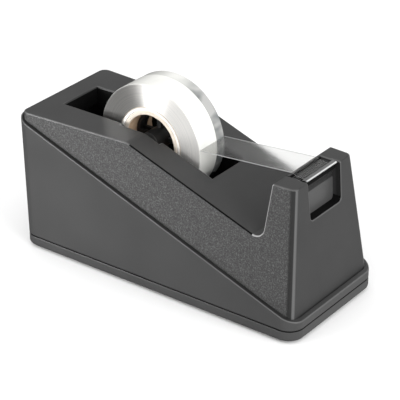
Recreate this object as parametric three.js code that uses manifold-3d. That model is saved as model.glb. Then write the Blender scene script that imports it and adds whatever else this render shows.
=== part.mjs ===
// Desktop tape dispenser: a weighted wedge with a drop-in roll of clear tape.
//
// Millimetres, +Z up, +X towards the cutter, +Y to the left of someone facing it from behind.
// The design is drawn with x = 0 at the back of the base, and the whole group is then
// shifted so that the origin is the centre of the footprint at the resting surface.

import * as THREE from 'three';
import { mergeVertices } from 'three/addons/utils/BufferGeometryUtils.js';
import Module from 'manifold-3d';

const wasm = await Module();
wasm.setup();

// ---------- driving dimensions ----------

const GAP = 0.3; // clearance between pieces that touch
const SEAT = 0.1; // clearance under pieces that lie flat on each other
const WALL = 2; // moulded wall thickness
const SMOOTH = 5; // steps in a rounded corner
const ROUND = 16; // sides of a small round

const LENGTH = 152;
const WIDTH = 65;
const CORNER = 7.5; // plan corners of the base and the lower housing
const REAR_LEAN = 1.8; // how far the back wall leans out at its top

const PAD_INSET = 4;
const PAD_TOP = 1.2;
const PLATE_TOP = 6;
const PLATE_FLOOR = 3.6;
const PLATE_EDGE = 1.4; // broken lower edge of the base plate
const PLATE_RIM = 2.4; // thickness of the base plate's rim
const CASE_BOSS = 5; // radius of the bosses round the case screws
const LOWER_BOTTOM = 6.4;
const LUG_TOP = 8.6;

const LEDGE_REAR = 64.8; // height of the sloping parting line at x = 0
const LEDGE_FRONT = 10.3; // and at x = LENGTH
const LEDGE_WIDTH = 2.1;
const TONGUE = 2.4; // how deep the upper housing reaches below the parting line
const SIDE_TILT = 0.168; // how fast the textured sides close in above the parting line

const REAR_FACE = -0.4;
const DECK_TOP = 67.3;
const BEND_X = 58.4;
const VALLEY_X = 130.5;
const VALLEY_Z = 42.3;
const EAR_REAR = 132.5;
const EAR_TOP = 68.2;
const FRONT_FACE = 149.3; // at the front ledge
const FRONT_TILT = 0.092; // how fast the front leans back
const REAR_ROUND = 4; // upright corners of the upper housing, at the back
const FRONT_ROUND = 3.4; // at the front, just above the ledge
const FRONT_ROUND_TOP = 2.6; // and at the tops of the ears

const WELL_REAR = 10.5;
const WELL_FRONT = 94;
const WELL_HALF = 11.7;
const WELL_FLOOR = 30;
const SLOT_HALF = 14; // outer end of the axle slots
const SLOT_MOUTH = 13; // half the slot's flared mouth

const AXIS_X = 57.9;
const AXIS_Z = 60.4;
const PIN_RADIUS = 2.5;
const PIN_HALF = 13.2;
const END_RADIUS = 5;
const END_INNER = 10.4;
const END_OUTER = 13.7;

const TAPE_HALF = 9.2;
const TAPE_RADIUS = 27.6;
const CORE_OUTER = 16.8;
const CORE_INNER = 13;
const CORE_FLARE = 0.7;
const HUB_RADIUS = 12.7;
const HUB_HALF = 4.3;
const HUB_RIM = 1.8;
const HUB_WEB = 1.6;
const HUB_BOSS = 5;
const HUB_BOSS_HALF = 10.1;

const EAR_INNER = 12;
const POCKET_BOTTOM = 50.2;
const POCKET_DEPTH = 4.2;
const POCKET_HALF_LOW = 11.7;
const POCKET_HALF_HIGH = 12.4;
const SHELF_TOP = 62.6;
const PLATFORM_FRONT = 142.2;
const PLATFORM_DECK = 67.3;
const UNDERCUT_X = 139.6; // the platform is cut back below the blade
const UNDERCUT_TOP = 65;
const BLADE_SEAT = 65.6; // floor of the blade's slot
const LIP_FRONT = 134.4;
const BLADE_THICK = 0.5;
const BLADE_LEG_X = 140.4;
const BLADE_REACH = 2.7;
const BLADE_LIFT = 6; // degrees
const TOOTH_PITCH = 0.95;

const FILM = 0.3;
const FILM_START_X = 86;
const FILM_START_Z = 64.4;

const BALLAST_REAR = 23;
const BALLAST_FRONT = 127;
const BALLAST_HALF = 24;
const BALLAST_THICK = 8;
const BALLAST_SCREWS = [33, 117];
const BALLAST_BOSS = 4.4; // radius of the base plate's bosses under the ballast screws
const BALLAST_BOSS_TOP = 9;
const BALLAST_BORE_FLOOR = 2.4;
const BALLAST_SHANK = 2;

// ---------- outlines ----------

// Rounds the corners of a polygon given as [x, y, radius], anticlockwise.
function rounded(corners, steps = SMOOTH) {
  const points = [];
  corners.forEach(([x, y, radius = 0], i) => {
    const here = new THREE.Vector2(x, y);
    if (radius <= 0) {
      points.push(here);
      return;
    }
    const last = corners[(i + corners.length - 1) % corners.length];
    const next = corners[(i + 1) % corners.length];
    const back = new THREE.Vector2(last[0] - x, last[1] - y).normalize();
    const on = new THREE.Vector2(next[0] - x, next[1] - y).normalize();
    const half = Math.acos(THREE.MathUtils.clamp(back.dot(on), -1, 1)) / 2;
    const start = here.clone().addScaledVector(back, radius / Math.tan(half));
    const end = here.clone().addScaledVector(on, radius / Math.tan(half));
    const middle = back.clone().add(on).normalize();
    const centre = here.clone().addScaledVector(middle, radius / Math.sin(half));
    const from = start.clone().sub(centre).angle();
    let sweep = end.clone().sub(centre).angle() - from;
    if (sweep > Math.PI) sweep -= 2 * Math.PI;
    if (sweep < -Math.PI) sweep += 2 * Math.PI;
    for (let k = 0; k <= steps; k += 1) {
      const angle = from + (sweep * k) / steps;
      points.push(new THREE.Vector2(
        centre.x + radius * Math.cos(angle),
        centre.y + radius * Math.sin(angle),
      ));
    }
  });
  return points;
}

// Moves every side of an anticlockwise polygon inwards by the distance given.
function inset(corners, distance) {
  const sides = corners.map(([x, y], i) => {
    const [nx, ny] = corners[(i + 1) % corners.length];
    const along = new THREE.Vector2(nx - x, ny - y).normalize();
    return {
      along,
      point: new THREE.Vector2(x - along.y * distance, y + along.x * distance),
    };
  });
  return corners.map(([, , radius = 0], i) => {
    const a = sides[(i + sides.length - 1) % sides.length];
    const b = sides[i];
    const turn = a.along.cross(b.along);
    const t = b.point.clone().sub(a.point).cross(b.along) / turn;
    const x = a.point.x + a.along.x * t;
    const y = a.point.y + a.along.y * t;
    const change = turn > 0 ? -distance : distance;
    return [x, y, radius > 0 ? Math.max(radius + change, 0.2) : 0];
  });
}

function circle(radius, x = 0, y = 0, sides = ROUND) {
  return Array.from({ length: sides }, (_, i) => {
    const angle = (2 * Math.PI * i) / sides;
    return new THREE.Vector2(x + radius * Math.cos(angle), y + radius * Math.sin(angle));
  });
}

function box2(x0, x1, y0, y1, radius = 0) {
  return rounded([[x0, y0, radius], [x1, y0, radius], [x1, y1, radius], [x0, y1, radius]]);
}

// ---------- solids ----------

function toSolid(geometry) {
  const bare = geometry.clone();
  bare.deleteAttribute('normal');
  bare.deleteAttribute('uv');
  const merged = mergeVertices(bare, 1e-5);
  return new wasm.Manifold(new wasm.Mesh({
    numProp: 3,
    vertProperties: new Float32Array(merged.attributes.position.array),
    triVerts: new Uint32Array(merged.index.array),
  }));
}

function toGeometry(solid) {
  const mesh = solid.getMesh();
  const geometry = new THREE.BufferGeometry();
  geometry.setAttribute('position', new THREE.BufferAttribute(mesh.vertProperties, 3));
  geometry.setIndex(new THREE.BufferAttribute(mesh.triVerts, 1));
  geometry.computeVertexNormals();
  return geometry;
}

// An outline in plan, raised from one height to another.
function upright(points, low, high) {
  const geometry = new THREE.ExtrudeGeometry(new THREE.Shape(points), {
    depth: high - low,
    bevelEnabled: false,
  });
  return toSolid(geometry.translate(0, 0, low));
}

// A side view (x, z) drawn right across the object from one y to another.
function across(points, low, high) {
  const geometry = new THREE.ExtrudeGeometry(new THREE.Shape(points), {
    depth: high - low,
    bevelEnabled: false,
  });
  return toSolid(geometry.rotateX(Math.PI / 2).translate(0, high, 0));
}

// A front view (y, z) drawn forward from one x to another.
function forward(points, low, high) {
  const geometry = new THREE.ExtrudeGeometry(new THREE.Shape(points), {
    depth: high - low,
    bevelEnabled: false,
  });
  return toSolid(geometry.rotateZ(Math.PI / 2).rotateY(Math.PI / 2).translate(low, 0, 0));
}

// A solid between two plan outlines that have the same number of points.
function loft(lowRing, low, highRing, high) {
  const count = lowRing.length;
  const positions = [];
  lowRing.forEach((p) => positions.push(p.x, p.y, low));
  highRing.forEach((p) => positions.push(p.x, p.y, high));
  const index = [];
  for (let i = 0; i < count; i += 1) {
    const j = (i + 1) % count;
    index.push(i, j, count + j, i, count + j, count + i);
  }
  THREE.ShapeUtils.triangulateShape(lowRing, []).forEach(([a, b, c]) => index.push(a, c, b));
  THREE.ShapeUtils.triangulateShape(highRing, []).forEach(([a, b, c]) => {
    index.push(count + a, count + b, count + c);
  });
  const geometry = new THREE.BufferGeometry();
  geometry.setAttribute('position', new THREE.Float32BufferAttribute(positions, 3));
  geometry.setIndex(index);
  return toSolid(geometry);
}

// A turned piece from a [radius, height] profile that closes on itself or on the axis.
function turned(profile, sides = ROUND) {
  const points = profile.map(([radius, height]) => new THREE.Vector2(radius, height));
  if (profile[0][0] > 0) points.push(points[0].clone());
  return new THREE.LatheGeometry(points, sides);
}

// The same, standing up along Z.
function turnedUpright(profile, sides) {
  return toSolid(turned(profile, sides).rotateX(Math.PI / 2));
}

// The same, lying along Y and centred on the roll's axis.
function turnedOnAxle(profile, sides) {
  return toSolid(turned(profile, sides).translate(AXIS_X, 0, AXIS_Z));
}

// ---------- shared envelopes ----------

const parting = (x) => LEDGE_REAR + ((LEDGE_FRONT - LEDGE_REAR) * x) / LENGTH;
const partingCos = Math.cos(Math.atan((LEDGE_REAR - LEDGE_FRONT) / LENGTH));
const frontFace = (z) => FRONT_FACE - FRONT_TILT * (z - LEDGE_FRONT);

// Half the width between the tilted sides of the upper housing, at any x and z.
function sideHalf(x, z) {
  const above = (z - parting(x)) * partingCos;
  return WIDTH / 2 - LEDGE_WIDTH - GAP - SIDE_TILT * above;
}

// The upper housing's outline seen from the side.
const tongueFoot = (x) => parting(x) - TONGUE;
const upperCorners = [
  [REAR_FACE, tongueFoot(REAR_FACE)],
  [frontFace(tongueFoot(LENGTH)), tongueFoot(frontFace(tongueFoot(LENGTH)))],
  [frontFace(EAR_TOP), EAR_TOP, 0.9],
  [EAR_REAR, EAR_TOP, 0.8],
  [VALLEY_X, VALLEY_Z, 4],
  [BEND_X, DECK_TOP, 9],
  [REAR_FACE, DECK_TOP, 1],
];

// A loft whose four walls follow the tilted sides, grown outwards by the distance given.
function tiltedWalls(grow) {
  const low = -20;
  const high = 80;
  const narrowing = (FRONT_ROUND - FRONT_ROUND_TOP) / (EAR_TOP - LEDGE_FRONT);
  const ring = (z) => {
    const rear = REAR_FACE - grow;
    const front = frontFace(z) + grow;
    const rearHalf = sideHalf(rear, z) + grow;
    const frontHalf = sideHalf(front, z) + grow;
    const frontRound = Math.max(FRONT_ROUND - narrowing * (z - LEDGE_FRONT) + grow, 0.2);
    const rearRound = REAR_ROUND + grow;
    return rounded([
      [rear, -rearHalf, rearRound],
      [front, -frontHalf, frontRound],
      [front, frontHalf, frontRound],
      [rear, rearHalf, rearRound],
    ]);
  };
  const half = WIDTH / 2 - LEDGE_WIDTH - GAP + grow;
  const limit = upright(box2(REAR_FACE - grow, LENGTH, -half, half, REAR_ROUND + grow), low, high);
  return loft(ring(low), low, ring(high), high).intersect(limit);
}

// The side view with its lower edge dropped well below the object.
function openBelow(corners) {
  return corners.map(([x, z, radius = 0], i) => (i < 2 ? [x, -15, radius] : [x, z, radius]));
}

function upperEnvelope(grow) {
  const profile = inset(upperCorners, -grow);
  return tiltedWalls(grow).intersect(across(rounded(profile), -WIDTH, WIDTH));
}

// ---------- screws ----------

const caseScrewPlaces = [
  ['rear_right', 14, -22],
  ['rear_left', 14, 22],
  ['front_right', 143.4, -19],
  ['front_left', 143.4, 19],
];
const CASE_SCREW = { head: 3.2, shank: 1.6, bottom: 1.5, under: 3.3, top: 22 };
const BOSS_RADIUS = 3.4;
const FRONT_BOSS_TOP = 31;

// A recessed pan head with a drive slot, then a shank with a pointed tip, pointing up.
function screwGeometry({ head, shank, bottom, under, top }) {
  const body = turnedUpright([
    [0, bottom],
    [head - 0.4, bottom],
    [head, bottom + 0.4],
    [head, under],
    [shank, under],
    [shank, top - shank],
    [0, top],
  ], 12);
  const slotWidth = head * 0.14;
  const slot = box2(-head * 0.7, head * 0.7, -slotWidth, slotWidth);
  const crossed = box2(-slotWidth, slotWidth, -head * 0.7, head * 0.7);
  const depth = bottom + (under - bottom) * 0.6;
  return toGeometry(body
    .subtract(upright(slot, bottom - 1, depth))
    .subtract(upright(crossed, bottom - 1, depth)));
}

// ---------- base ----------

function planOutline(grow, lean = 0) {
  return box2(-lean - grow, LENGTH + grow, -WIDTH / 2 - grow, WIDTH / 2 + grow, CORNER + grow);
}

function antislipPad() {
  return toGeometry(upright(planOutline(-PAD_INSET), 0, PAD_TOP));
}

function basePlate() {
  const bottom = PAD_TOP + SEAT;
  const edge = bottom + PLATE_EDGE;
  const foot = loft(planOutline(-PLATE_EDGE * 0.7), bottom, planOutline(0), edge);
  const rim = upright(planOutline(0), edge, PLATE_TOP);
  let plate = foot.add(rim).subtract(upright(planOutline(-PLATE_RIM), PLATE_FLOOR, PLATE_TOP + 1));
  caseScrewPlaces.forEach(([, x, y]) => {
    plate = plate
      .add(upright(circle(CASE_BOSS, x, y), PLATE_FLOOR - 0.5, PLATE_TOP))
      .subtract(upright(circle(CASE_SCREW.head + GAP, x, y), 0, CASE_SCREW.under + GAP))
      .subtract(upright(circle(CASE_SCREW.shank + GAP, x, y), 0, PLATE_TOP + 1));
  });
  BALLAST_SCREWS.forEach((x) => {
    plate = plate
      .add(upright(circle(BALLAST_BOSS, x, 0), PLATE_FLOOR - 0.5, BALLAST_BOSS_TOP))
      .subtract(upright(circle(BALLAST_SHANK + GAP, x, 0), BALLAST_BORE_FLOOR, BALLAST_BOSS_TOP + 1));
  });
  return toGeometry(plate);
}

function ballastPlate(bottom, holeRadius) {
  const outline = box2(BALLAST_REAR, BALLAST_FRONT, -BALLAST_HALF, BALLAST_HALF, 3);
  let plate = upright(outline, bottom, bottom + BALLAST_THICK);
  BALLAST_SCREWS.forEach((x) => {
    plate = plate.subtract(upright(circle(holeRadius, x, 0), bottom - 1, bottom + BALLAST_THICK + 1));
  });
  return toGeometry(plate);
}

// ---------- lower housing ----------

function lowerHousing() {
  const low = LOWER_BOTTOM;
  const high = LEDGE_REAR + 1;
  const leanAt = (z) => (REAR_LEAN * (z - low)) / (LEDGE_REAR - low);
  const outer = loft(planOutline(0), low, planOutline(0, leanAt(high)), high);
  const inner = loft(planOutline(-WALL), low - 1, planOutline(-WALL, leanAt(high)), high + 1);
  const below = [
    new THREE.Vector2(-10, 0),
    new THREE.Vector2(LENGTH + 10, 0),
    new THREE.Vector2(LENGTH + 10, parting(LENGTH + 10)),
    new THREE.Vector2(-10, parting(-10)),
  ];
  let walls = outer.subtract(inner);
  const lug = (x0, x1) => upright(box2(x0, x1, -WIDTH / 2, WIDTH / 2), low, LUG_TOP)
    .subtract(upright(box2(x0 - 1, x1 + 1, -15, 15), low - 1, LUG_TOP + 1));
  walls = walls.add(lug(-1, 20).add(lug(137, LENGTH)).intersect(outer));
  caseScrewPlaces.forEach(([, x, y]) => {
    walls = walls.subtract(upright(circle(CASE_SCREW.shank + GAP, x, y), 0, LUG_TOP + 1));
  });
  return toGeometry(walls
    .intersect(across(below, -WIDTH, WIDTH))
    .subtract(upperEnvelope(GAP)));
}

// ---------- upper housing ----------

const wellCorners = [
  [WELL_REAR, WELL_FLOOR, 3],
  [WELL_FRONT, WELL_FLOOR, 3],
  [WELL_FRONT, 90],
  [WELL_REAR, 90],
];

// A slot that the axle's end drops into: a round seat below a flared mouth.
function axleSlot() {
  const seat = END_RADIUS + GAP;
  const points = [];
  const steps = 10;
  for (let i = 0; i <= steps; i += 1) {
    const angle = Math.PI + (Math.PI * i) / steps;
    points.push(new THREE.Vector2(
      AXIS_X + seat * Math.cos(angle),
      AXIS_Z + seat * Math.sin(angle),
    ));
  }
  points.push(new THREE.Vector2(AXIS_X + seat, AXIS_Z + 1));
  points.push(new THREE.Vector2(AXIS_X + SLOT_MOUTH, DECK_TOP));
  points.push(new THREE.Vector2(AXIS_X + SLOT_MOUTH, DECK_TOP + 20));
  points.push(new THREE.Vector2(AXIS_X - SLOT_MOUTH, DECK_TOP + 20));
  points.push(new THREE.Vector2(AXIS_X - SLOT_MOUTH, DECK_TOP));
  points.push(new THREE.Vector2(AXIS_X - seat, AXIS_Z + 1));
  return across(points, -SLOT_HALF, SLOT_HALF);
}

// The open-topped pocket in the front, which lets a thumb reach the tape's end.
function frontPocket() {
  const top = 90;
  const outline = rounded([
    [-POCKET_HALF_LOW, POCKET_BOTTOM, 2],
    [POCKET_HALF_LOW, POCKET_BOTTOM, 2],
    [POCKET_HALF_HIGH, EAR_TOP, 0],
    [POCKET_HALF_HIGH, top, 0],
    [-POCKET_HALF_HIGH, top, 0],
    [-POCKET_HALF_HIGH, EAR_TOP, 0],
  ]);
  const floorAt = (z) => frontFace(z) - POCKET_DEPTH;
  const depth = [
    new THREE.Vector2(floorAt(POCKET_BOTTOM - 5), POCKET_BOTTOM - 5),
    new THREE.Vector2(LENGTH + 5, POCKET_BOTTOM - 5),
    new THREE.Vector2(LENGTH + 5, top),
    new THREE.Vector2(floorAt(top), top),
  ];
  return forward(outline, 120, LENGTH + 5).intersect(across(depth, -WIDTH, WIDTH));
}

const PLATFORM_SCREW = { head: 1.7, shank: 1.1, bottom: 57.6, under: 59.3, top: 65.6 };
const PLATFORM_SCREW_X = 136.3;
const PLATFORM_SCREW_Y = 7;
const SHELF_BOTTOM = 59.6;

function upperHousing() {
  const cavityCorners = openBelow(inset(upperCorners, WALL));
  const cavity = tiltedWalls(-WALL).intersect(across(rounded(cavityCorners), -WIDTH, WIDTH));
  const roof = across(rounded(openBelow(upperCorners)), -WIDTH, WIDTH);
  const well = rounded(wellCorners);
  const wellOuter = rounded(inset(wellCorners, -WALL));

  let shell = upperEnvelope(0).subtract(cavity);
  let added = across(wellOuter, -WELL_HALF - WALL, WELL_HALF + WALL);
  const pads = box2(AXIS_X - SLOT_MOUTH - WALL, AXIS_X + SLOT_MOUTH + WALL, 50, 90);
  added = added.add(across(pads, -SLOT_HALF - WALL, SLOT_HALF + WALL));
  caseScrewPlaces.forEach(([place, x, y]) => {
    const top = place.startsWith('front') ? FRONT_BOSS_TOP : DECK_TOP;
    added = added.add(upright(circle(BOSS_RADIUS, x, y), LUG_TOP + GAP, top));
  });
  const pocketHalf = POCKET_HALF_HIGH + WALL;
  const pocketWall = box2(-pocketHalf, pocketHalf, POCKET_BOTTOM - WALL, EAR_TOP);
  added = added.add(forward(pocketWall, frontFace(55) - POCKET_DEPTH - 1.8, frontFace(EAR_TOP) - 1));
  const shelf = box2(-EAR_INNER - WALL, EAR_INNER + WALL, SHELF_BOTTOM, EAR_TOP);
  added = added.add(forward(shelf, EAR_REAR + 0.5, frontFace(EAR_TOP) - 1));
  shell = shell.add(added.intersect(roof).intersect(tiltedWalls(0)));

  shell = shell
    .subtract(across(well, -WELL_HALF, WELL_HALF))
    .subtract(axleSlot())
    .subtract(frontPocket())
    .subtract(forward(box2(-EAR_INNER, EAR_INNER, SHELF_TOP, 90), 120, LENGTH));
  caseScrewPlaces.forEach(([, x, y]) => {
    const hole = circle(CASE_SCREW.shank + GAP, x, y);
    shell = shell.subtract(upright(hole, LUG_TOP - 1, CASE_SCREW.top + GAP));
  });
  [-PLATFORM_SCREW_Y, PLATFORM_SCREW_Y].forEach((y) => {
    const hole = circle(PLATFORM_SCREW.shank + GAP, PLATFORM_SCREW_X, y);
    shell = shell.subtract(upright(hole, SHELF_BOTTOM - 1, SHELF_TOP + 1));
  });
  return toGeometry(shell);
}

// ---------- cutter ----------

function tapePlatform() {
  const bottom = SHELF_TOP + SEAT;
  const half = EAR_INNER - GAP;
  const body = rounded([
    [EAR_REAR - 0.3, bottom, 0.3],
    [UNDERCUT_X, bottom, 0.3],
    [UNDERCUT_X, UNDERCUT_TOP, 0.3],
    [PLATFORM_FRONT, UNDERCUT_TOP, 0.3],
    [PLATFORM_FRONT, PLATFORM_DECK, 0.4],
    [LIP_FRONT + 0.5, PLATFORM_DECK, 0],
    [LIP_FRONT, PLATFORM_DECK - 0.4, 0],
    [LIP_FRONT, EAR_TOP, 0.7],
    [EAR_REAR, EAR_TOP, 0.8],
  ], 4);
  let platform = across(body, -half, half);
  const ribStart = LIP_FRONT + 1.2;
  for (let x = ribStart; x < BLADE_LEG_X - 1; x += 1.1) {
    const rib = box2(x, x + 0.5, PLATFORM_DECK - 0.3, PLATFORM_DECK + 0.3);
    platform = platform.subtract(across(rib, -half + 0.8, half - 0.8));
  }
  const legSlot = box2(BLADE_LEG_X - GAP, BLADE_LEG_X + BLADE_THICK + GAP, BLADE_SEAT, 90);
  platform = platform.subtract(across(legSlot, -half - 1, half + 1));
  [-PLATFORM_SCREW_Y, PLATFORM_SCREW_Y].forEach((y) => {
    const hole = circle(PLATFORM_SCREW.shank + GAP, PLATFORM_SCREW_X, y);
    platform = platform.subtract(upright(hole, 60, PLATFORM_SCREW.top + GAP));
  });
  return toGeometry(platform);
}

// A steel strip with a leg held in the platform and a toothed edge that leans forward.
function cutterBlade() {
  const half = EAR_INNER - GAP - 0.1;
  const bendZ = PLATFORM_DECK + 0.3;
  const legBottom = BLADE_SEAT + GAP;
  const leg = across(box2(BLADE_LEG_X, BLADE_LEG_X + BLADE_THICK, legBottom, bendZ + 0.3), -half, half);
  const tooth = 0.7;
  const count = Math.floor((2 * half) / TOOTH_PITCH);
  const pitch = (2 * half) / count;
  const edge = [new THREE.Vector2(0, -half), new THREE.Vector2(BLADE_REACH - tooth, -half)];
  for (let i = 0; i < count; i += 1) {
    edge.push(new THREE.Vector2(BLADE_REACH, -half + (i + 0.5) * pitch));
    edge.push(new THREE.Vector2(BLADE_REACH - tooth, -half + (i + 1) * pitch));
  }
  edge.push(new THREE.Vector2(0, half));
  const flange = new THREE.ExtrudeGeometry(new THREE.Shape(edge), {
    depth: BLADE_THICK,
    bevelEnabled: false,
  });
  const lift = THREE.MathUtils.degToRad(BLADE_LIFT);
  flange.rotateY(-lift).translate(BLADE_LEG_X, 0, bendZ);
  return toGeometry(leg.add(toSolid(flange)));
}

// ---------- roll ----------

// Half of the hub: a rim, a spoked web and a long boss that runs on the pin.
function hubHalf(side) {
  const from = GAP / 2;
  const webFrom = HUB_HALF - HUB_WEB;
  const rim = turnedOnAxle([
    [HUB_RADIUS - HUB_RIM, from],
    [HUB_RADIUS, from],
    [HUB_RADIUS, HUB_HALF - 0.4],
    [HUB_RADIUS - 0.4, HUB_HALF],
    [HUB_RADIUS - HUB_RIM, HUB_HALF],
  ], 40);
  const boss = turnedOnAxle([
    [PIN_RADIUS + GAP, from],
    [HUB_BOSS, from],
    [HUB_BOSS, HUB_BOSS_HALF - 0.3],
    [HUB_BOSS - 0.3, HUB_BOSS_HALF],
    [PIN_RADIUS + GAP, HUB_BOSS_HALF],
  ], 32);
  let half = rim.add(boss);
  const spokeHalf = 1.1;
  for (let i = 0; i < 4; i += 1) {
    const spoke = new THREE.BoxGeometry(HUB_RADIUS - HUB_BOSS, HUB_WEB + 1, 2 * spokeHalf);
    spoke.translate((HUB_RADIUS + HUB_BOSS) / 2 - 0.7, webFrom + HUB_WEB / 2 - 0.5, 0);
    spoke.rotateY((i * Math.PI) / 2).translate(AXIS_X, 0, AXIS_Z);
    half = half.add(toSolid(spoke));
  }
  const facing = side > 0 ? half : half.mirror([0, 1, 0]);
  return toGeometry(facing);
}

function ring(inner, outer, half, flare, sides) {
  return toGeometry(turnedOnAxle([
    [inner + flare, -half],
    [outer, -half],
    [outer, half],
    [inner + flare, half],
    [inner, half - flare],
    [inner, flare - half],
  ], sides));
}

function axlePin() {
  return toGeometry(turnedOnAxle([
    [0, -PIN_HALF],
    [PIN_RADIUS - 0.4, -PIN_HALF],
    [PIN_RADIUS, 0.4 - PIN_HALF],
    [PIN_RADIUS, PIN_HALF - 0.4],
    [PIN_RADIUS - 0.4, PIN_HALF],
    [0, PIN_HALF],
  ], ROUND));
}

function axleEnd(side) {
  const floor = PIN_HALF + GAP - 0.2;
  const cap = turnedOnAxle([
    [0, floor],
    [PIN_RADIUS + GAP, floor],
    [PIN_RADIUS + GAP, END_INNER],
    [END_RADIUS, END_INNER],
    [END_RADIUS, END_OUTER - 0.4],
    [END_RADIUS - 0.4, END_OUTER],
    [0, END_OUTER],
  ], 28);
  return toGeometry(side > 0 ? cap : cap.mirror([0, 1, 0]));
}

// The free length of film from the roll, over the platform's lip and down to the blade.
function tapeStrand() {
  const over = EAR_TOP + GAP;
  const deck = PLATFORM_DECK + GAP;
  const under = [
    [FILM_START_X, FILM_START_Z],
    [EAR_REAR + 0.3, over],
    [LIP_FRONT - 0.3, over],
    [LIP_FRONT + 1.4, deck],
    [BLADE_LEG_X - 0.9, deck],
  ];
  const lower = under.map(([x, z]) => new THREE.Vector2(x, z));
  const upper = under.map(([x, z]) => new THREE.Vector2(x, z + FILM)).reverse();
  return toGeometry(across([...lower, ...upper], -TAPE_HALF, TAPE_HALF));
}

// ---------- assembly ----------

const PLASTIC = { color: 0x4b4b4b, roughness: 0.5, metalness: 0 };
const DARK = { color: 0x1c1c1d, roughness: 0.6, metalness: 0 };
const STEEL = { color: 0xb8babb, roughness: 0.3, metalness: 1 };
const RUBBER = { color: 0x202020, roughness: 0.9, metalness: 0 };
const CARD = { color: 0xe8dfcf, roughness: 0.8, metalness: 0 };
const FILM_CLEAR = { color: 0xf2f2ee, roughness: 0.15, metalness: 0 };

const group = new THREE.Group();
group.position.x = -(LENGTH - REAR_LEAN) / 2;

function piece(name, geometry, finish, parent = group) {
  const mesh = new THREE.Mesh(geometry, new THREE.MeshStandardMaterial(finish));
  mesh.name = name;
  parent.add(mesh);
  return mesh;
}

piece('antislip_pad', antislipPad(), RUBBER);
piece('base_plate', basePlate(), PLASTIC);
piece('lower_housing', lowerHousing(), PLASTIC);
piece('upper_housing', upperHousing(), PLASTIC);

const firstBallast = PLATE_FLOOR + SEAT;
const secondBallast = firstBallast + BALLAST_THICK + SEAT;
piece('ballast_plate_lower', ballastPlate(firstBallast, BALLAST_BOSS + GAP), STEEL);
piece('ballast_plate_upper', ballastPlate(secondBallast, BALLAST_SHANK + GAP), STEEL);

caseScrewPlaces.forEach(([place, x, y]) => {
  piece(`case_screw_${place}`, screwGeometry(CASE_SCREW), STEEL).position.set(x, y, 0);
});

const ballastTop = secondBallast + BALLAST_THICK;
const ballastScrew = {
  head: 3.8,
  shank: BALLAST_SHANK,
  bottom: -2.4,
  under: 0,
  top: ballastTop - 2.8,
};
BALLAST_SCREWS.forEach((x, i) => {
  const screw = piece(`ballast_screw_${['rear', 'front'][i]}`, screwGeometry(ballastScrew), STEEL);
  screw.position.set(x, 0, ballastTop + SEAT);
  screw.rotation.x = Math.PI;
});

piece('tape_platform', tapePlatform(), DARK);
piece('cutter_blade', cutterBlade(), STEEL);
[['right', -1], ['left', 1]].forEach(([side, sign]) => {
  const screw = piece(`platform_screw_${side}`, screwGeometry(PLATFORM_SCREW), STEEL);
  screw.position.set(PLATFORM_SCREW_X, sign * PLATFORM_SCREW_Y, 0);
});

piece('axle_pin', axlePin(), STEEL);
[['right', -1], ['left', 1]].forEach(([side, sign]) => {
  piece(`axle_end_${side}`, axleEnd(sign), DARK);
  piece(`hub_half_${side}`, hubHalf(sign), DARK);
});
piece('tape_core', ring(CORE_INNER, CORE_OUTER, TAPE_HALF, CORE_FLARE, 48), CARD);
piece('tape_roll', ring(CORE_OUTER + SEAT, TAPE_RADIUS, TAPE_HALF, 0, 72), FILM_CLEAR);
piece('tape_strand', tapeStrand(), FILM_CLEAR);

export default group;
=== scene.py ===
"""Looks for the desktop tape dispenser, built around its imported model.

Shapes are built in millimetres in the part's drawn frame (x = 0 at the back of the base),
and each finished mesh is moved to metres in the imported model's frame.
"""

import math

import bmesh
import bpy
from mathutils import Matrix, Vector


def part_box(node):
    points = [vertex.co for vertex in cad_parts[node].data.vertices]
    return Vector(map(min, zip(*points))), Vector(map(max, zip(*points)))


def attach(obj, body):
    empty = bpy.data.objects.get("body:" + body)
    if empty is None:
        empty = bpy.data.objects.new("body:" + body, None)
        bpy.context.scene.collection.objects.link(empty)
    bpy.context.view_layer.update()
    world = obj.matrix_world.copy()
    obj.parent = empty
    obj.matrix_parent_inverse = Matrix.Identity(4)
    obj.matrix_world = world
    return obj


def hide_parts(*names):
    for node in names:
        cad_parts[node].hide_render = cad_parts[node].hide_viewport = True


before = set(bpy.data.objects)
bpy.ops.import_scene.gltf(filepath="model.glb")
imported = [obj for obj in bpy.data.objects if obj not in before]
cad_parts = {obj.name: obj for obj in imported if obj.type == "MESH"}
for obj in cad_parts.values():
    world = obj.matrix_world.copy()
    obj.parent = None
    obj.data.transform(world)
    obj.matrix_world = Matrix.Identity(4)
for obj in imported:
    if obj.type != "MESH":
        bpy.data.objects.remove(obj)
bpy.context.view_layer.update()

MM = 0.001


def node_box(node):
    """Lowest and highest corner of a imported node, in millimetres."""
    low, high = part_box(node)
    return low / MM, high / MM


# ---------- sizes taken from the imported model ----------

plate_low, plate_high = node_box("base_plate")
lower_low = node_box("lower_housing")[0]
upper_high = node_box("upper_housing")[1]
roll_low, roll_high = node_box("tape_roll")
core_low, core_high = node_box("tape_core")
hub_low, hub_high = node_box("hub_half_left")
pin_low, pin_high = node_box("axle_pin")
end_low, end_high = node_box("axle_end_left")
deck_low, deck_high = node_box("tape_platform")
blade_low, blade_high = node_box("cutter_blade")

ORIGIN_X = plate_low.x  # the drawn x = 0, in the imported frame
LENGTH = plate_high.x - plate_low.x
HALF_WIDTH = plate_high.y
AXIS_X = (roll_low.x + roll_high.x) / 2 - ORIGIN_X
AXIS_Z = (roll_low.z + roll_high.z) / 2
TAPE_HALF = roll_high.y
TAPE_RADIUS = (roll_high.x - roll_low.x) / 2
CORE_OUTER = (core_high.x - core_low.x) / 2
HUB_RADIUS = (hub_high.x - hub_low.x) / 2
PIN_RADIUS = (pin_high.x - pin_low.x) / 2
END_RADIUS = (end_high.x - end_low.x) / 2
EAR_TOP = upper_high.z

# ---------- sizes shared with the part's drawing ----------

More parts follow.
